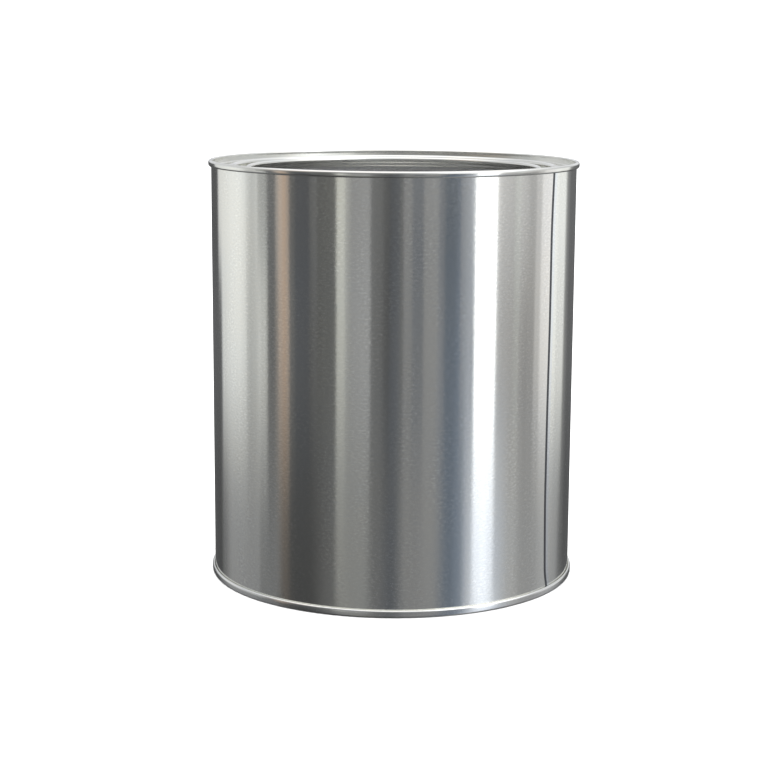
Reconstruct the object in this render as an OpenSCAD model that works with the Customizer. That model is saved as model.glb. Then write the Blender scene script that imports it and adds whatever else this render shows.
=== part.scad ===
// One-gallon tinplate paint can, open and without its lid.
// A rolled and welded body, closed by a bottom end and by a ring with a lid groove.
// Both ends are double seamed to the body. Millimetres, origin at the centre of the base, +Z up.

/* [Can] */
// Diameter over the double seams
seam_d = 168.3; // [140:0.1:220]
// Height over the double seams
can_h = 190.5; // [120:0.5:260]

/* [Sheet] */
// Thickness of the body sheet
body_t = 0.28; // [0.24:0.01:0.3]
// Thickness of the ring and of the bottom end
end_t = 0.3; // [0.26:0.01:0.32]

/* [Double seams] */
// Height of the finished seam at the top
top_seam_h = 2.7; // [2.6:0.1:3.8]
// Height of the finished seam at the bottom
bottom_seam_h = 3.4; // [2.6:0.1:3.8]
// Gap between two layers of a seam
seam_gap = 0.14; // [0.12:0.01:0.16]

/* [Top ring] */
// Diameter of the mouth, inside the curled edge
mouth_d = 129.8; // [110:0.1:134]
// Thickness of the curled edge, across its roll
curl_d = 2.3; // [2:0.1:2.6]
// Straight part of the curled edge, down the mouth
curl_straight = 0.7; // [0.4:0.1:1]
// Depth of the top of the curled edge below the top of the seam
curl_drop = 2.6; // [2.2:0.1:3]
// Clear width of the groove that takes the lid
groove_w = 4.6; // [4:0.1:5.2]
// Depth of the underside of the groove below the top of the seam
groove_drop = 7.3; // [6.8:0.1:9]
// Depth of the groove's outer shoulder below the top of the seam
shoulder_drop = 2; // [1.6:0.1:2.6]
// Depth of the ring where it meets its upright wall
ring_drop = 3.6; // [3.4:0.1:4.2]

/* [Bottom end] */
// Height of the end's rim channel above the base
end_rise = 5.4; // [5:0.1:7]
// Height of the middle of the end above the base
panel_rise = 4.4; // [4:0.1:4.8]
// Height of each round stiffening bead
bead_h = 0.7; // [0.3:0.1:1]
// Width of each stiffening bead
bead_w = 7; // [5:0.5:8]

/* [Side weld] */
// Direction of the weld, in degrees to the right of the front
weld_turn = 55; // [-180:1:180]
// Width of the welded lap
weld_w = 1.6; // [1:0.1:3]
// Thickness of the welded lap
weld_t = 0.4; // [0.32:0.01:0.4]

/* [Hidden] */

$fn = 180;
tin = [0.8, 0.81, 0.82];
weld_grey = [0.36, 0.37, 0.4];
compound_grey = [0.55, 0.56, 0.52];

// A section is a path of points [r, s]: r is the radius and s the distance in from the seam's own edge.
// So one path serves at both ends of the can: s runs down from the top, and up from the base.

// Radii of the middle of each layer of a seam, from the outside in
seam_r = seam_d / 2;
outer_r = seam_r - end_t / 2;
body_hook_r = outer_r - end_t / 2 - seam_gap - body_t / 2;
end_hook_r = body_hook_r - body_t / 2 - seam_gap - end_t / 2;
body_r = end_hook_r - end_t / 2 - seam_gap - body_t / 2;
chuck_gap = 0.08;
chuck_r = body_r - body_t / 2 - chuck_gap - end_t / 2;

// Bends of a seam, as radii of the middle of the sheet
hook_bend = (outer_r - end_hook_r) / 2;
outer_bend = 0.55;
inner_bend = 0.45;
crown_gap = 0.2;
end_hook_s = 1.2;
body_hook_clear = 0.8;
body_bend_s = end_t + crown_gap + body_t / 2 + hook_bend;

// Bends of the ring and of the bottom end
channel_bend = 0.8;
shoulder_bend = 1.2;
groove_bend = 0.9;
curl_bend = (curl_d - end_t) / 2;
curl_r = mouth_d / 2 + curl_d / 2;
curl_s = curl_drop + curl_d / 2;
curl_turn = 290;
groove_in_r = curl_r + curl_bend;
groove_out_r = groove_in_r + end_t + groove_w;
groove_s = groove_drop - end_t / 2;

// Middles of the stiffening beads, as parts of the end's radius
bead_places = [0.36, 0.6, 0.84];
end_edge_r = chuck_r - 6;

// Sealing compound, which leaves this much room on each side of it
compound_room = 0.02;
compound_clear = 1.2;

function unit(v) = v / norm(v);

// Points of an arc about c with radius r, from angle a to angle b
function arc(c, r, a, b, n = 8) =
    [for (i = [0 : n]) let (t = a + (b - a) * i / n) c + r * [cos(t), sin(t)]];

// Direction square to the step that starts at point i
function across(path, i) =
    let (d = unit(path[i + 1] - path[i])) [-d[1], d[0]];

// Point i moved sideways by k, so that both steps beside it keep their distance
function moved(path, i, k) =
    let (last = len(path) - 1)
    let (a = across(path, max(i - 1, 0)))
    let (b = across(path, min(i, last - 1)))
    let (m = unit(a + b))
    path[i] + m * k / (m * b);

// Outline of sheet of thickness t along a path
function sheet(path, t) = concat(
    [for (i = [0 : len(path) - 1]) moved(path, i, t / 2)],
    [for (i = [len(path) - 1 : -1 : 0]) moved(path, i, -t / 2)]);

// A path measured down from the top of the can
function from_top(path) = [for (p = path) [p[0], can_h - p[1]]];

function reversed(path) = [for (i = [len(path) - 1 : -1 : 0]) path[i]];

// Slope of the straight stretch that joins a bend at a to an opposite bend at b
function slope(a, ra, b, rb) =
    atan2(a[1] - b[1], a[0] - b[0]) + asin((ra + rb) / norm(a - b));

// End's side of a double seam of height h: its hook, its outer wall and the crown
function seam_path(h) = concat(
    [[end_hook_r, end_hook_s]],
    arc([body_hook_r, h - end_t / 2 - hook_bend], hook_bend, 180, 0),
    arc([outer_r - outer_bend, end_t / 2 + outer_bend], outer_bend, 0, -90),
    arc([chuck_r + inner_bend, end_t / 2 + inner_bend], inner_bend, -90, -180));

// Body's side of a double seam of height h: its wall turned out and back
function body_end_path(h) = concat(
    arc([end_hook_r, body_bend_s], hook_bend, -180, 0),
    [[body_hook_r, h - body_hook_clear]]);

// The whole height of the body, with a hook at each end
body_path = concat(
    reversed(body_end_path(bottom_seam_h)),
    from_top(body_end_path(top_seam_h)));

// The ring: rim channel, slope up to the shoulder, groove and curled edge
ring_a = [chuck_r - channel_bend, ring_drop - end_t / 2 - channel_bend];
ring_b = [groove_out_r + shoulder_bend, shoulder_drop + end_t / 2 + shoulder_bend];
ring_slope = slope(ring_a, channel_bend, ring_b, shoulder_bend);
ring_path = concat(
    seam_path(top_seam_h),
    arc(ring_a, channel_bend, 0, 90 + ring_slope),
    arc(ring_b, shoulder_bend, ring_slope - 90, -180, 10),
    arc([groove_out_r - groove_bend, groove_s - groove_bend], groove_bend, 0, 90),
    arc([groove_in_r + groove_bend, groove_s - groove_bend], groove_bend, 90, 180),
    arc([curl_r, curl_s], curl_bend, 0, -180, 16),
    arc([curl_r, curl_s + curl_straight], curl_bend, -180, -curl_turn, 10));

// The bottom end: rim channel, edge of the panel and a panel with round beads
end_a = [chuck_r - channel_bend, end_rise - end_t / 2 - channel_bend];
end_b = [end_edge_r, panel_rise + end_t / 2 + shoulder_bend];
end_slope = slope(end_a, channel_bend, end_b, shoulder_bend);
bead_steps = 10;

// Height of a bead at radius r, for a bead about radius mid
function bead(r, mid) = bead_h * (1 + cos(360 * (r - mid) / bead_w)) / 2;

panel_path = [
    for (k = [len(bead_places) - 1 : -1 : 0])
        for (i = [0 : bead_steps])
            let (mid = bead_places[k] * end_edge_r)
            let (r = mid + bead_w * (0.5 - i / bead_steps))
            [r, panel_rise + end_t / 2 + bead(r, mid)]];

end_path = concat(
    seam_path(bottom_seam_h),
    arc(end_a, channel_bend, 0, 90 + end_slope),
    arc(end_b, shoulder_bend, end_slope - 90, -90),
    panel_path,
    [[0, panel_rise + end_t / 2]]);

// Compound round the outside of the body's bend, in a seam of height h
compound_bend = hook_bend + body_t / 2 + seam_gap / 2;
function compound_path(h) = concat(
    arc([end_hook_r, body_bend_s], compound_bend, -130, 0),
    [[end_hook_r + compound_bend, h - compound_clear]]);

// A section turned round the can's axis
module turned(outline) {
    rotate_extrude() polygon(outline);
}

// The welded lap, a narrow strip of the body's own section
module weld_strip(extra = 0) {
    sweep = (weld_w + extra) / body_r * 180 / PI;
    rotate([0, 0, weld_turn - 90 - sweep / 2])
        rotate_extrude(angle = sweep) polygon(sheet(body_path, weld_t + extra));
}

// The body is open along the weld's width, and the weld closes it
module body_sheet() {
    sweep = weld_w / body_r * 180 / PI;
    color(tin)
        rotate([0, 0, weld_turn - 90 + sweep / 2])
            rotate_extrude(angle = 360 - sweep) polygon(sheet(body_path, body_t));
}

module side_weld() {
    color(weld_grey) weld_strip();
}

module top_ring() {
    color(tin) turned(sheet(from_top(ring_path), end_t));
}

module bottom_end() {
    color(tin) turned(sheet(end_path, end_t));
}

// Compound stops on each side of the weld, which is thicker than the body
module compound(path) {
    color(compound_grey)
        difference() {
            turned(sheet(path, seam_gap - 2 * compound_room));
            weld_strip(2 * compound_room);
        }
}

module top_seam_compound() {
    compound(from_top(compound_path(top_seam_h)));
}

module bottom_seam_compound() {
    compound(compound_path(bottom_seam_h));
}

body_sheet();
side_weld();
top_ring();
top_seam_compound();
bottom_end();
bottom_seam_compound();
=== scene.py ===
"""An open one-gallon tinplate paint can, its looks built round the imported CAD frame.

Every sheet of the can is turned again, finely, from the section that its CAD node has. The seams' faces
are then rounded a little, and the body and its weld are bent a little, inside the frame's own box.
The metal is lit by what it mirrors: a panorama of soft light and dark cards.
"""

import math

import bmesh
import bpy
from mathutils import Matrix, Vector, geometry, noise


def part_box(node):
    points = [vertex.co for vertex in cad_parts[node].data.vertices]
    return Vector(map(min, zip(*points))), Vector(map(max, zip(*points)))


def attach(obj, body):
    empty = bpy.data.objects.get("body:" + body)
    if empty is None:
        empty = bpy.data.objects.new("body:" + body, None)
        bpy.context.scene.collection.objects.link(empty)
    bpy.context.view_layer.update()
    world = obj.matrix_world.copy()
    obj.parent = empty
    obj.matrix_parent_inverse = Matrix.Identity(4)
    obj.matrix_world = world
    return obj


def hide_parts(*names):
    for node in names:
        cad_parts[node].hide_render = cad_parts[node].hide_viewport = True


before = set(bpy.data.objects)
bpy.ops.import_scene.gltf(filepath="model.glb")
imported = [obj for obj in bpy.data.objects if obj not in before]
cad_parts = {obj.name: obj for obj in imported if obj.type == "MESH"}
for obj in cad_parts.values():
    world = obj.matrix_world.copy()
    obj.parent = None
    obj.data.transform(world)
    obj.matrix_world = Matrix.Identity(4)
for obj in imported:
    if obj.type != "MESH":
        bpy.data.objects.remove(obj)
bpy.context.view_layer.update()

MM = 0.001
TURN = 2 * math.pi


# ---------------------------------------------------------------- sections out of the frame

FLAT = 2e-6  # a vertex this close to a plane or to the axis lies in it


def section(node, azimuth):
    """The node's outline in the half plane at that azimuth from +X: points (radius, height), in order.

    It is one closed loop, or, where the node reaches the axis, a chain from the axis back to the axis."""
    mesh = bmesh.new()
    mesh.from_mesh(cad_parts[node].data)
    bmesh.ops.remove_doubles(mesh, verts=mesh.verts, dist=FLAT)
    bmesh.ops.rotate(mesh, verts=mesh.verts, matrix=Matrix.Rotation(-azimuth, 3, "Z"))

    def in_plane(verts):
        return all(abs(v.co.y) < FLAT and v.co.x > -FLAT for v in verts)

    beside = {}
    for edge in mesh.edges:
        if in_plane(edge.verts) and sum(in_plane(f.verts) for f in edge.link_faces) < 2:
            a, b = edge.verts
            beside.setdefault(a, []).append(b)
            beside.setdefault(b, []).append(a)
    ends = [v for v in beside if len(beside[v]) == 1]
    walk = [ends[0] if ends else next(iter(beside))]
    seen = {walk[0]}
    while True:
        ahead = [v for v in beside[walk[-1]] if v not in seen]
        if not ahead:
            break
        walk.append(ahead[0])
        seen.add(ahead[0])
    points = [(v.co.x, v.co.z) for v in walk]
    mesh.free()
    if ends:
        # The flat middle of the node may have no edge in this plane, and the chain then stops at its rim
        if points[0][0] > FLAT:
            points.insert(0, (0.0, points[0][1]))
        if points[-1][0] > FLAT:
            points.append((0.0, points[-1][1]))
    return points, not ends


def refined(points, closed, hold, step):
    """The outline with a point close to each end of every long straight, and others at most step apart.

    The close points keep a bend's shading off the flat beside it."""
    result = []
    for i, a in enumerate(points):
        result.append(a)
        if i == len(points) - 1 and not closed:
            break
        b = points[(i + 1) % len(points)]
        length = math.dist(a, b)
        if length < 4 * hold:
            continue
        inner = max(1, math.ceil((length - 2 * hold) / step))
        places = [hold + (length - 2 * hold) * k / inner for k in range(inner + 1)]
        result += [tuple(p + (q - p) * s / length for p, q in zip(a, b)) for s in places]
    return result


# ---------------------------------------------------------------- turned meshes

KEEP_INSIDE = 1  # asks delaunay_2d_cdt for the triangles inside the outline only
MERGE_MM = 1e-5


def filled(outline):
    """Short triangles that fill a closed outline, each as three places in it."""
    flat = [Vector((r / MM, z / MM)) for r, z in outline]
    whole = [list(range(len(flat)))]
    result = geometry.delaunay_2d_cdt(flat, [], whole, KEEP_INSIDE, MERGE_MM)
    faces, origin = result[2], result[3]
    return [[origin[j][0] for j in face] for face in faces]


UV_MAP = "OFBake"  # the sheets' UV map, in which their textures are laid out
SHARP = math.radians(40)
FULL_TURN = TURN - 1e-6


def turned(name, outline, closed, steps, start=0.0, sweep=TURN, shaped=None):
    """A closed mesh, made by turning an outline about Z. shaped(angle, r, z) may move a point a little.

    Its UV map has U along the outline and V round the axis."""
    full = sweep >= FULL_TURN
    columns = steps if full else steps + 1
    mesh = bmesh.new()
    grid = []
    for i in range(columns):
        angle = start + sweep * i / steps
        grid.append([shaped(angle, r, z) if shaped else (angle, r, z) for r, z in outline])
    on_axis = {j for j, (r, z) in enumerate(outline) if abs(r) < FLAT}
    poles = {j: mesh.verts.new((0, 0, outline[j][1])) for j in on_axis}
    rows = [
        [
            poles[j] if j in poles else mesh.verts.new((r * math.cos(t), r * math.sin(t), z))
            for j, (t, r, z) in enumerate(column)
        ]
        for column in grid
    ]
    lengths = [0.0]
    for a, b in zip(outline, outline[1:] + outline[:1]):
        lengths.append(lengths[-1] + math.dist(a, b))
    total = lengths[-1] if closed else lengths[-2]
    layer = mesh.loops.layers.uv.new(UV_MAP)
    spans = len(outline) if closed else len(outline) - 1
    for i in range(steps):
        near, far = rows[i], rows[(i + 1) % columns]
        for j in range(spans):
            k = (j + 1) % len(outline)
            corners = [(near[j], j, i), (far[j], j, i + 1), (far[k], j + 1, i + 1), (near[k], j + 1, i)]
            kept = []
            for corner in corners:
                if corner[0] not in [c[0] for c in kept]:
                    kept.append(corner)
            face = mesh.faces.new([c[0] for c in kept])
            for loop, (_, along, around) in zip(face.loops, kept):
                loop[layer].uv = (lengths[along] / total, around / steps)
    if not full:
        for column in (rows[0], rows[-1]):
            for corners in filled(outline):
                mesh.faces.new([column[j] for j in corners])
    bmesh.ops.recalc_face_normals(mesh, faces=mesh.faces)
    data = bpy.data.meshes.new(name)
    mesh.to_mesh(data)
    mesh.free()
    data.shade_smooth()
    data.set_sharp_from_angle(angle=SHARP)
    piece = bpy.data.objects.new(name, data)
    bpy.context.scene.collection.objects.link(piece)
    piece["outline_mm"] = total / MM
    return piece


# ---------------------------------------------------------------- the can's own measures

ring_low, ring_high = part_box("top_ring")
weld_low, weld_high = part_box("side_weld")
CAN_H = ring_high.z
SEAM_R = ring_high.x
TOP_SEAM_H = 2.7 * MM
BOTTOM_SEAM_H = 3.4 * MM
CROWN_R = SEAM_R - 0.7 * MM  # where the seam's outer corner begins
SEAM_BULGE = 0.28 * MM  # how far the rounding takes in the seam's upper and lower corners
SEAM_POWER = 2.5
WELD_AT = math.atan2(weld_low.y + weld_high.y, weld_low.x + weld_high.x)


def clamp(x):
    return min(1.0, max(0.0, x))


def smooth(x):
    x = clamp(x)
    return x * x * (3 - 2 * x)


def barrel(outline):
    """Rounds the outer face of a double seam, which its making leaves a little proud at the middle."""
    result = []
    for r, z in outline:
        if z > CAN_H / 2:
            half, middle = TOP_SEAM_H / 2, CAN_H - TOP_SEAM_H / 2
        else:
            half, middle = BOTTOM_SEAM_H / 2, BOTTOM_SEAM_H / 2
        off = abs(z - middle) / half
        share = clamp((r - CROWN_R) / (SEAM_R - CROWN_R)) if off <= 1.01 else 0.0
        result.append((r - SEAM_BULGE * share * off**SEAM_POWER, z))
    return result


SWAY = 0.03 * MM  # about how far the body's wall stands off a true cylinder
SWAY_SIZE = 45 * MM  # the length of its waves
SWAY_FADE = 14 * MM  # how far from each end they fade out
SWAY_START = Vector((3.1, 7.7, 1.3))


def body_sway(angle, z):
    """How far the body's sheet stands off its true radius: long shallow waves that the seams hold still."""
    at = Vector((SEAM_R * math.cos(angle), SEAM_R * math.sin(angle), 0.6 * z)) / SWAY_SIZE
    wave = noise.noise(at + SWAY_START) + 0.4 * noise.noise(2.7 * at)
    return SWAY * wave * smooth(z / SWAY_FADE) * smooth((CAN_H - z) / SWAY_FADE)


# The weld's line, as measured in the photo
WELD_SHIFT = 0.35 * MM  # how far the whole of it stands to the right of the CAD's
WELD_LEAN = 0.7 * MM  # the weld's upper half stands this much to the right of its lower half
LEAN_FROM, LEAN_OVER = 75 * MM, 55 * MM
# How far the weld runs out of line towards an end of the can, over what length, and at which end
WELD_BENDS = ((1.4 * MM, 45 * MM, "bottom"), (2.4 * MM, 12 * MM, "bottom"), (1.4 * MM, 32 * MM, "top"))
WELD_WANDER = 0.12 * MM
WANDER_LENGTH = 30 * MM


def weld_drift(z):
    """How far round, as an angle, the weld stands off a straight line at that height."""
    drift = WELD_SHIFT + WELD_LEAN * smooth((z - LEAN_FROM) / LEAN_OVER)
    for bend, length, place in WELD_BENDS:
        away = z if place == "bottom" else CAN_H - z
        drift += bend * (1 - clamp(away / length)) ** 1.5
    drift += WELD_WANDER * noise.noise(Vector((0.2, 0.4, z / WANDER_LENGTH)))
    return drift / SEAM_R


def shape_body(angle, r, z):
    """Where a point of the body goes: round with the weld's line, and in or out with the sway."""
    return angle + weld_drift(z), r + body_sway(angle, z), z


# ---------------------------------------------------------------- sheets

def from_section(name, node, azimuth, steps, hold, step, rounded=False, **turn):
    """The visual piece that stands in for a CAD node, turned from the node's section at that azimuth."""
    points, closed = section(node, azimuth)
    outline = refined(points, closed, hold, step)
    if rounded:
        outline = barrel(outline)
    piece = turned(name, outline, closed, steps, **turn)
    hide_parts(node)
    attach(piece, "root")
    return piece


def open_ends(node):
    """The azimuths of the two flat ends of a node that goes only part of the way round, and its sweep."""
    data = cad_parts[node].data
    middle = WELD_AT + (0 if node == "side_weld" else math.pi)
    turns = [
        (math.atan2(v.co.y, v.co.x) - middle + math.pi) % TURN - math.pi
        for v in data.vertices
    ]
    return middle + min(turns), max(turns) - min(turns)


body_start, body_sweep = open_ends("body_sheet")
body = from_section(
    "can_body", "body_sheet", body_start, 360, 0.12 * MM, 2.5 * MM,
    start=body_start, sweep=body_sweep, shaped=shape_body,
)

ring = from_section("can_top_ring", "top_ring", 0.0, 360, 0.1 * MM, 0.8 * MM, rounded=True)

end = from_section("can_bottom_end", "bottom_end", 0.0, 320, 0.18 * MM, 3 * MM, rounded=True)

NUGGET = 0.9 * MM  # distance from one weld spot to the next
NUGGET_H = 0.025 * MM
NUGGET_BEND = 0.25  # how far a ripple bends back at the weld's edges, as a share of NUGGET
RIPPLE_FROM, RIPPLE_OVER = 3 * MM, 2 * MM  # the ripple starts this far from each end, and grows over this
weld_start, weld_sweep = open_ends("side_weld")


def shape_weld(angle, r, z):
    """Where a point of the weld goes: as the body beside it, with the weld spots' ripple on both faces."""
    across = 2 * (angle - weld_start) / weld_sweep - 1
    ripple = NUGGET_H * math.cos(TURN * (z / NUGGET + NUGGET_BEND * across**2))
    outward = 1 if r > weld_middle_r else -1
    fade = smooth((z - RIPPLE_FROM) / RIPPLE_OVER) * smooth((CAN_H - z - RIPPLE_FROM) / RIPPLE_OVER)
    rise = ripple * (1 - across**2) * fade
    return angle + weld_drift(z), r + outward * rise + body_sway(angle, z), z


weld_points, _ = section("side_weld", weld_start)
weld_sides = list(zip(weld_points, weld_points[1:] + weld_points[:1]))
longest = max(math.dist(a, b) for a, b in weld_sides)
# The radii of the weld's inner and outer face, which are the two longest sides of its section
walls = {round((a[0] + b[0]) / 2, 6) for a, b in weld_sides if math.dist(a, b) > 0.8 * longest}
weld_middle_r = sum(walls) / len(walls)
weld = from_section(
    "can_side_weld", "side_weld", weld_start, 8, 0.12 * MM, 0.2 * MM,
    start=weld_start, sweep=weld_sweep, shaped=shape_weld,
)


# ---------------------------------------------------------------- materials

class Tree:
    """A short way to write a material's nodes."""

    def __init__(self, name):
        self.material = bpy.data.materials.new(name)
        self.material.use_nodes = True
        self.nodes = self.material.node_tree.nodes
        self.links = self.material.node_tree.links
        self.shader = self.nodes["Principled BSDF"]

    def feed(self, socket, value):
        if isinstance(value, bpy.types.NodeSocket):
            self.links.new(value, socket)
        else:
            socket.default_value = value

    def node(self, kind, inputs=(), **settings):
        made = self.nodes.new("ShaderNode" + kind)
        for key, value in settings.items():
            setattr(made, key, value)
        for key, value in dict(inputs).items():
            self.feed(made.inputs[key], value)
        return made

    def maths(self, operation, *values):
        made = self.node("Math", operation=operation)
        for socket, value in zip(made.inputs, values):
            self.feed(socket, value)
        return made.outputs[0]

    def on_sheet(self, size, offset=(0.0, 0.0, 0.0)):
        """Coordinates on the unrolled sheet, in units of size: (along the outline, round the can)."""
        uv = self.node("UVMap", uv_map=UV_MAP).outputs[0]
        made = self.node("Mapping", {"Vector": uv, "Scale": (*size, 1.0), "Location": offset})
        return made.outputs[0]

    def noise(self, vector, detail=2.0, roughness=0.5, scale=1.0):
        inputs = {"Vector": vector, "Scale": scale, "Detail": detail, "Roughness": roughness}
        return self.node("TexNoise", inputs).outputs["Fac"]

    def ranged(self, value, low, high, to_low=0.0, to_high=1.0):
        inputs = {"Value": value, "From Min": low, "From Max": high, "To Min": to_low, "To Max": to_high}
        return self.node("MapRange", inputs).outputs[0]

    def mixed(self, share, a, b):
        made = self.node("Mix", {"Factor": share}, data_type="RGBA")
        self.feed(made.inputs["A"], a)
        self.feed(made.inputs["B"], b)
        return made.outputs["Result"]

    def scaled(self, colour, gain):
        made = self.node("VectorMath", operation="SCALE")
        self.feed(made.inputs[0], colour)
        self.feed(made.inputs["Scale"], gain)
        return made.outputs[0]

    def times(self, colour, factors):
        return self.node("VectorMath", {0: colour, 1: factors}, operation="MULTIPLY").outputs[0]

    def colour(self, *rgb):
        return (*rgb, 1.0)


WARM = (1.0, 0.985, 0.95)
COOL = (0.95, 0.965, 0.975)
RUB_ROUGHNESS = 0.012  # how much rougher a rubbed streak is


def tinplate(name, piece, round_mm, tone, rough, grain, speck, stretch, spangle_and_glint):
    """Tin-coated sheet. grain and speck are bump depths in metres; stretch is the shader's anisotropy.

    round_mm is the sheet's size round the can. The last argument is how much lighter or darker its tin
    crystals are than their neighbours, and how bright the painted glints on some of them are. Texture sizes
    are in millimetres, along the outline and then round."""
    t = Tree(name)
    along_mm = piece["outline_mm"]

    def on_sheet(tall, wide, offset=(0.0, 0.0, 0.0)):
        return t.on_sheet((along_mm / tall, round_mm / wide), offset)

    streaks = t.noise(on_sheet(0.5, 6.0), 3.0, 0.6)
    fine = t.noise(on_sheet(1.0, 1.5), 2.0, 0.6)
    broad = t.noise(on_sheet(60.0, 45.0), 2.0, 0.5)
    rubs = t.noise(on_sheet(1.4, 60.0, (3.0, 9.0, 0.0)), 2.0, 0.7)
    rub = t.ranged(rubs, 0.66, 0.8)

    streaky = t.ranged(streaks, 0.3, 0.7, -0.35, 0.35)
    shade = t.maths("ADD", streaky, t.ranged(broad, 0.3, 0.7, 0.2, 0.8))
    warm = t.colour(*(c * w for c, w in zip(tone, WARM)))
    cool = t.colour(*(c * w for c, w in zip(tone, COOL)))
    crystals = t.noise(on_sheet(0.9, 1.7, (5.0, 2.0, 0.0)), 1.0, 0.5)
    patches = t.noise(on_sheet(50.0, 9.0, (1.0, 4.0, 0.0)), 1.0, 0.5)
    depth = t.ranged(patches, 0.4, 0.65, 0.35 * spangle_and_glint, 1.3 * spangle_and_glint)
    # Painted glints: some crystals are made brighter in the colour, standing in for light glinting off them
    painted_glint = t.ranged(crystals, 0.58, 0.74, 0.0, 1.5)
    crystal_tone_and_glint = t.maths("ADD", t.ranged(crystals, 0.3, 0.7, -1.0, 1.0), painted_glint)
    gain = t.maths("ADD", 1.0, t.maths("MULTIPLY", crystal_tone_and_glint, depth))
    plain = t.mixed(shade, cool, warm)
    t.feed(t.shader.inputs["Base Color"], t.scaled(plain, gain))

    uneven = t.ranged(broad, 0.3, 0.7, rough - 0.008, rough + 0.008)
    roughness = t.maths("ADD", uneven, t.ranged(fine, 0.3, 0.7, -0.01, 0.01))
    rubbed = t.maths("MULTIPLY", rub, RUB_ROUGHNESS)
    t.feed(t.shader.inputs["Roughness"], t.maths("ADD", roughness, rubbed))

    height = t.maths("ADD", t.maths("MULTIPLY", streaks, grain), t.maths("MULTIPLY", fine, speck))
    bump = t.node("Bump", {"Height": height, "Strength": 1.0, "Distance": 1.0})
    t.feed(t.shader.inputs["Normal"], bump.outputs[0])
    t.shader.inputs["Metallic"].default_value = 1.0
    t.shader.inputs["Anisotropic"].default_value = stretch
    tangent = t.node("Tangent", direction_type="UV_MAP", uv_map=UV_MAP)
    t.feed(t.shader.inputs["Tangent"], tangent.outputs[0])
    piece.data.materials.append(t.material)
    return t


BLUE_STRIP_MM = 2.2  # the tin is a little blue this far to the right of the weld
BLUE_STRIP_EDGE_MM = 0.25
BLUE_STRIP_TINT = (0.96, 0.99, 1.06)
INSIDE_TINT = (0.99, 0.99, 1.05)
INSIDE_ROUGHER = 0.2


def body_finish(t, round_mm):
    """Adds two things to the body's tinplate: the bluish strip by the weld, and the inside."""
    spot = t.node("TexCoord").outputs
    level = t.times(spot["Object"], (1.0, 1.0, 0.0))
    facing = t.node("VectorMath", {0: level, 1: spot["Normal"]}, operation="DOT_PRODUCT")
    # The inner face is the one that looks towards the can's axis
    inside = t.maths("LESS_THAN", facing.outputs["Value"], 0.0)

    uv = t.node("UVMap", uv_map=UV_MAP).outputs[0]
    around = t.node("SeparateXYZ", {0: uv}).outputs[1]
    near, far = BLUE_STRIP_MM - BLUE_STRIP_EDGE_MM, BLUE_STRIP_MM + BLUE_STRIP_EDGE_MM
    bluish = t.ranged(around, near / round_mm, far / round_mm, 1.0, 0.0)

    base = t.shader.inputs["Base Color"]
    tin = base.links[0].from_socket
    outer = t.mixed(bluish, tin, t.times(tin, BLUE_STRIP_TINT))
    t.feed(base, t.mixed(inside, outer, t.times(tin, INSIDE_TINT)))

    sheen = t.shader.inputs["Roughness"]
    rougher = t.maths("MULTIPLY_ADD", inside, INSIDE_ROUGHER, sheen.links[0].from_socket)
    t.feed(sheen, rougher)


ROUND_MM = TURN * SEAM_R / MM
WELD_W_MM = 1.6
TIN = (0.80, 0.80, 0.765)
END_TIN = (0.80, 0.80, 0.78)
# The weld's colour is its dark oxide, and is also painted shade of a groove along the weld
WELD_DARK = (0.105, 0.11, 0.12)

body_look = tinplate(
    "body_tinplate", body, ROUND_MM, TIN, 0.13,
    grain=0.004 * MM, speck=0.008 * MM, stretch=0.84, spangle_and_glint=0.045,
)
body_finish(body_look, ROUND_MM)
tinplate("ring_tinplate", ring, ROUND_MM, TIN, 0.13, 0.0, speck=0.0015 * MM, stretch=0.0, spangle_and_glint=0.012)
tinplate("end_tinplate", end, ROUND_MM, END_TIN, 0.20, 0.0, speck=0.0015 * MM, stretch=0.0, spangle_and_glint=0.012)
tinplate("weld_metal", weld, WELD_W_MM, WELD_DARK, 0.42, 0.0, speck=0.01 * MM, stretch=0.0, spangle_and_glint=0.05)

COMPOUND_DARK = (0.30, 0.32, 0.28)
COMPOUND_PALE = (0.42, 0.43, 0.38)
COMPOUND_GRAIN = 900.0  # grains to the metre
compound = Tree("seam_compound")
grainy = compound.node("TexCoord").outputs["Object"]
cloud = compound.noise(grainy, 3.0, 0.6, COMPOUND_GRAIN)
rubber = compound.mixed(cloud, compound.colour(*COMPOUND_DARK), compound.colour(*COMPOUND_PALE))
compound.feed(compound.shader.inputs["Base Color"], rubber)
compound.feed(compound.shader.inputs["Roughness"], compound.ranged(cloud, 0.3, 0.7, 0.55, 0.75))
for name in ("top_seam_compound", "bottom_seam_compound"):
    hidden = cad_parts[name]
    hidden.data.materials.clear()
    hidden.data.materials.append(compound.material)


# ---------------------------------------------------------------- what the metal mirrors

GREY = (0.985, 1.0, 1.04)
CREAM = (0.985, 1.0, 1.0)
STRAW = (0.99, 1.0, 0.955)
PEARL = (1.01, 1.0, 1.02)
ROSE = (1.08, 1.0, 0.95)
COPPER = (1.20, 1.0, 0.87)
RUST = (1.30, 1.0, 0.80)
SKY = (0.94, 1.0, 1.13)
SLATE = (0.84, 1.0, 1.27)
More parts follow.
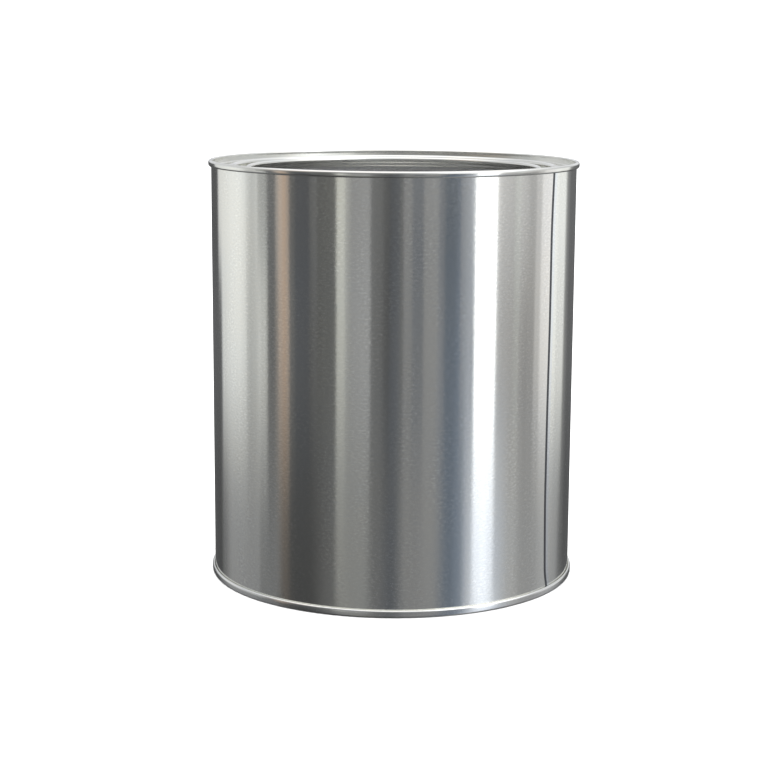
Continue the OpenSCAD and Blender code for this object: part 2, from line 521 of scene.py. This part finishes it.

# The cards that stand round the can and make its stripes. Each reaches from its azimuth to the next one's:
# azimuth, brightness at its left edge and at its right edge, tint, and how much of that its foot keeps.
# Azimuths are degrees to the right of the direction from the can to the camera.
# The rows were rounded from the photo's measured stripe colours.
CARDS = (
    (-180.0, 0.10, 0.10, GREY, 1.20),
    (-143.4, 0.12, 0.70, GREY, 1.00),
    (-140.6, 0.82, 0.97, CREAM, 0.92),
    (-122.0, 0.99, 1.04, CREAM, 0.93),
    (-110.0, 1.03, 0.90, CREAM, 0.92),
    (-103.0, 0.82, 0.66, CREAM, 0.78),
    (-98.0, 0.63, 0.66, CREAM, 0.90),
    (-93.5, 0.72, 0.72, CREAM, 0.90),
    (-91.5, 0.48, 0.40, CREAM, 1.70),
    (-87.0, 0.45, 0.31, CREAM, 1.75),
    (-83.2, 0.175, 0.17, GREY, 0.85),
    (-76.8, 0.37, 0.42, ROSE, 0.62),
    (-74.5, 0.47, 0.50, COPPER, 0.85),
    (-71.5, 0.44, 0.42, RUST, 0.95),
    (-68.5, 0.37, 0.33, COPPER, 1.20),
    (-66.3, 0.145, 0.12, GREY, 1.35),
    (-62.0, 0.095, 0.09, SKY, 1.30),
    (-52.0, 0.14, 0.19, GREY, 0.85),
    (-47.0, 0.125, 0.14, CREAM, 1.05),
    (-41.0, 0.145, 0.15, CREAM, 0.95),
    (-34.5, 0.76, 0.72, STRAW, 0.80),
    (-29.0, 0.50, 0.40, CREAM, 0.88),
    (-25.5, 0.32, 0.37, GREY, 1.15),
    (-13.6, 0.19, 0.155, GREY, 0.95),
    (-6.0, 0.13, 0.10, GREY, 0.85),
    (-2.0, 0.09, 0.12, SKY, 1.25),
    (4.0, 0.15, 0.17, GREY, 1.00),
    (6.2, 0.30, 0.27, GREY, 0.88),
    (11.5, 0.19, 0.175, SKY, 1.00),
    (18.3, 0.29, 0.31, GREY, 0.97),
    (27.3, 0.20, 0.15, SKY, 1.45),
    (31.5, 0.105, 0.11, SLATE, 1.60),
    (38.0, 0.12, 0.16, SLATE, 1.50),
    (41.3, 0.24, 0.36, SKY, 1.25),
    (48.0, 0.42, 0.62, SKY, 0.70),
    (50.8, 2.00, 2.00, GREY, 0.95),
    (65.7, 0.82, 0.62, PEARL, 0.58),
    (71.5, 0.64, 0.58, PEARL, 0.62),
    (79.0, 0.64, 0.74, CREAM, 0.62),
    (84.0, 0.69, 0.58, PEARL, 0.48),
    (91.5, 0.51, 0.50, PEARL, 0.66),
    (98.0, 0.66, 0.64, PEARL, 0.90),
    (103.5, 0.93, 1.02, PEARL, 0.95),
    (116.0, 1.10, 1.12, CREAM, 0.95),
    (123.0, 1.04, 1.02, CREAM, 0.85),
    (135.2, 0.62, 0.33, CREAM, 0.70),
    (138.5, 0.28, 0.19, GREY, 0.85),
    (144.0, 0.16, 0.13, GREY, 0.90),
    (180.0, 0.13, 0.13, GREY, 0.90),
)
LEANING = -128.0  # left of here the cards' feet stand this far to the right of their tops
LEAN = 5.5  # degrees
# The light low down in front of the cards, blended from one azimuth to the next
LOW = (
    (-180.0, 0.10, GREY),
    (-143.0, 0.08, GREY),
    (-135.0, 0.17, GREY),
    (-122.0, 0.29, GREY),
    (-93.0, 0.27, GREY),
    (-90.0, 0.19, GREY),
    (-78.0, 0.20, GREY),
    (-70.0, 0.105, ROSE),
    (-65.0, 0.07, GREY),
    (-53.0, 0.07, GREY),
    (-37.5, 0.14, GREY),
    (-32.5, 0.26, CREAM),
    (-18.0, 0.265, CREAM),
    (-10.0, 0.17, GREY),
    (0.0, 0.125, SKY),
    (9.0, 0.25, GREY),
    (24.0, 0.28, GREY),
    (36.0, 0.185, SLATE),
    (42.0, 0.25, SLATE),
    (49.0, 0.60, SKY),
    (53.0, 1.10, SKY),
    (59.0, 1.22, SKY),
    (64.0, 1.04, SKY),
    (68.0, 0.60, SKY),
    (80.0, 0.46, GREY),
    (91.0, 0.34, GREY),
    (100.0, 0.34, GREY),
    (113.0, 0.42, GREY),
    (128.0, 0.33, GREY),
    (138.0, 0.14, GREY),
    (147.0, 0.10, GREY),
    (180.0, 0.10, GREY),
)
# How bright the room is a little above the cards, and well above them, blended in the same way
ROOM = (
    (-180.0, 0.85, GREY, 1.00),
    (-144.0, 0.75, GREY, 0.65),
    (-120.0, 0.80, GREY, 0.78),
    (-98.0, 0.60, GREY, 0.90),
    (-75.0, 0.40, ROSE, 0.95),
    (-62.0, 0.28, ROSE, 0.90),
    (-43.0, 0.22, GREY, 0.62),
    (-23.0, 0.28, GREY, 0.72),
    (0.0, 0.28, GREY, 0.72),
    (24.0, 0.60, GREY, 1.10),
    (34.0, 0.90, GREY, 2.60),
    (58.0, 1.50, GREY, 2.80),
    (90.0, 0.80, GREY, 2.40),
    (104.0, 0.75, GREY, 1.15),
    (136.0, 0.70, GREY, 0.95),
    (160.0, 0.90, GREY, 1.00),
    (180.0, 0.85, GREY, 1.00),
)
OVERHEAD = (1.4, 1.4, 1.42)  # the colour of the light above
GROUND_SHARE = 0.5  # how bright the ground just in front of the can is, beside the level near the floor
GROUND_TOP = 0.4  # and the most it may be
CARD_EDGE = 0.35  # how far to each side a card's edge is softened, in degrees
PANORAMA_R = 3.0
PANORAMA_AT = Vector((0, 0, CAN_H / 2))
AZIMUTH_STEPS = 1440
ELEVATIONS = (
    [-90, -65, -50, -44, -38, -32, -28, -24]
    + list(range(-20, 25))
    + [27, 30, 34, 42, 50, 60, 75, 90]
)


def blend(a, b, share):
    return [p + (q - p) * share for p, q in zip(a, b)]


def tinted(level, tint):
    return [level * c for c in tint]


def between(rows, azimuth):
    """The rows on each side of that azimuth, and how far it is from the first to the second."""
    for a, b in zip(rows, rows[1:]):
        if a[0] <= azimuth < b[0]:
            return a, b, (azimuth - a[0]) / (b[0] - a[0])


def card_at(azimuth):
    """The colours of the card's upper part and of its foot at that azimuth."""
    card, _, share = between(CARDS, (azimuth + 180) % 360 - 180)
    _, left, right, tint, foot = card
    upper = tinted(left + (right - left) * share, tint)
    return upper, tinted(foot, upper)


def room_at(rows, azimuth, level):
    """The blended colour there. level is the place of its brightness in each row."""
    a, b, share = between(rows, azimuth)
    return blend(tinted(a[level], a[2]), tinted(b[level], b[2]), smooth(share))


def glow_stops(azimuth):
    """The colours up that azimuth, each with its elevation in degrees, from the ground to overhead."""
    def spread(centre, part):
        cards = [card_at(centre + CARD_EDGE * k / 2)[part] for k in (-2, -1, 0, 1, 2)]
        return [sum(card[i] for card in cards) / len(cards) for i in range(3)]

    upper = spread(azimuth, 0)
    foot = spread(azimuth - (LEAN if azimuth < LEANING else 0.0), 1)
    low = room_at(LOW, azimuth, 1)
    ground = [min(GROUND_SHARE * c, GROUND_TOP) for c in low]
    room = room_at(ROOM, azimuth, 1)
    above = room_at(ROOM, azimuth, 3)
    return (
        (-90, ground), (-44, ground), (-22, low), (-15.2, low), (-8.6, foot), (-7.2, foot),
        (-4, upper), (-1, upper), (9, room), (20, room), (34, above), (60, OVERHEAD), (90, OVERHEAD),
    )


def glow_at(stops, elevation):
    """The colour at that elevation, blended between the stops on each side of it."""
    for (a, low), (b, high) in zip(stops, stops[1:]):
        if elevation <= b:
            return blend(low, high, smooth((elevation - a) / (b - a)))


def panorama():
    """The sphere that carries the cards. Only reflected rays see it, and it isn't sampled as a lamp."""
    mesh = bpy.data.meshes.new("panorama")
    points, colours, faces = [], [], []
    for i in range(AZIMUTH_STEPS):
        azimuth = -180 + 360 * i / AZIMUTH_STEPS
        stops = glow_stops(azimuth)
        turn = math.radians(azimuth)
        for elevation in ELEVATIONS:
            up = math.radians(elevation)
            out = Vector((math.sin(turn) * math.cos(up), -math.cos(turn) * math.cos(up), math.sin(up)))
            points.append(PANORAMA_AT + PANORAMA_R * out)
            colours += [*glow_at(stops, elevation), 1.0]
    tall = len(ELEVATIONS)
    for i in range(AZIMUTH_STEPS):
        k = (i + 1) % AZIMUTH_STEPS
        for j in range(tall - 1):
            faces.append((i * tall + j, k * tall + j, k * tall + j + 1, i * tall + j + 1))
    mesh.from_pydata(points, [], faces)
    glow = mesh.color_attributes.new("glow", "FLOAT_COLOR", "POINT")
    glow.data.foreach_set("color", colours)
    t = Tree("panorama")
    t.nodes.remove(t.shader)
    seen = t.node("Attribute", attribute_name="glow")
    light = t.node("Emission", {"Color": seen.outputs["Color"], "Strength": 1.0})
    t.links.new(light.outputs[0], t.nodes["Material Output"].inputs["Surface"])
    t.material.cycles.emission_sampling = "NONE"
    mesh.materials.append(t.material)
    shell = bpy.data.objects.new("panorama", mesh)
    bpy.context.scene.collection.objects.link(shell)
    shell.visible_camera = False
    shell.visible_diffuse = False
    shell.visible_shadow = False


panorama()


# ---------------------------------------------------------------- floor, light and camera

FLOOR_HALF = 20.0
WHITE_LEVEL = 2.0

floor_mesh = bpy.data.meshes.new("floor")
floor_mesh.from_pydata(
    [(x * FLOOR_HALF, y * FLOOR_HALF, 0.0) for x, y in ((-1, -1), (1, -1), (1, 1), (-1, 1))],
    [], [(0, 1, 2, 3)],
)
floor = bpy.data.objects.new("floor", floor_mesh)
bpy.context.scene.collection.objects.link(floor)
paint = Tree("floor_white")
paint.shader.inputs["Base Color"].default_value = (0.9, 0.9, 0.9, 1.0)
paint.shader.inputs["Roughness"].default_value = 1.0
paint.shader.inputs["Specular IOR Level"].default_value = 0.0
floor_mesh.materials.append(paint.material)
floor.visible_glossy = False

world = bpy.data.worlds.new("studio")
bpy.context.scene.world = world
world.use_nodes = True
world.node_tree.nodes["Background"].inputs["Color"].default_value = (1.0, 1.0, 1.0, 1.0)
world.node_tree.nodes["Background"].inputs["Strength"].default_value = WHITE_LEVEL

# The camera, solved from the can's outline in the photo: place in metres, and a lens in millimetres
EYE = Vector((0.0, -0.8305, 0.2392))
TILT = math.radians(10.405)
YAW = math.radians(0.272)
ROLL = math.radians(0.314)
LENS = 85.11

camera = bpy.data.objects.new("camera", bpy.data.cameras.new("camera"))
bpy.context.scene.collection.objects.link(camera)
camera.matrix_world = (
    Matrix.Translation(EYE)
    @ Matrix.Rotation(YAW, 4, "Z")
    @ Matrix.Rotation(math.pi / 2 - TILT, 4, "X")
    @ Matrix.Rotation(ROLL, 4, "Z")
)
camera.data.lens = LENS
camera.data.sensor_width = 36.0
camera.data.clip_start = 0.01
camera.data.clip_end = 100.0
bpy.context.scene.camera = camera
bpy.context.scene.view_settings.view_transform = "Standard"
# Light goes from wall to wall many times inside the can, which fewer bounces would leave too dark
BOUNCES = 16
bpy.context.scene.cycles.glossy_bounces = BOUNCES
bpy.context.scene.cycles.max_bounces = BOUNCES
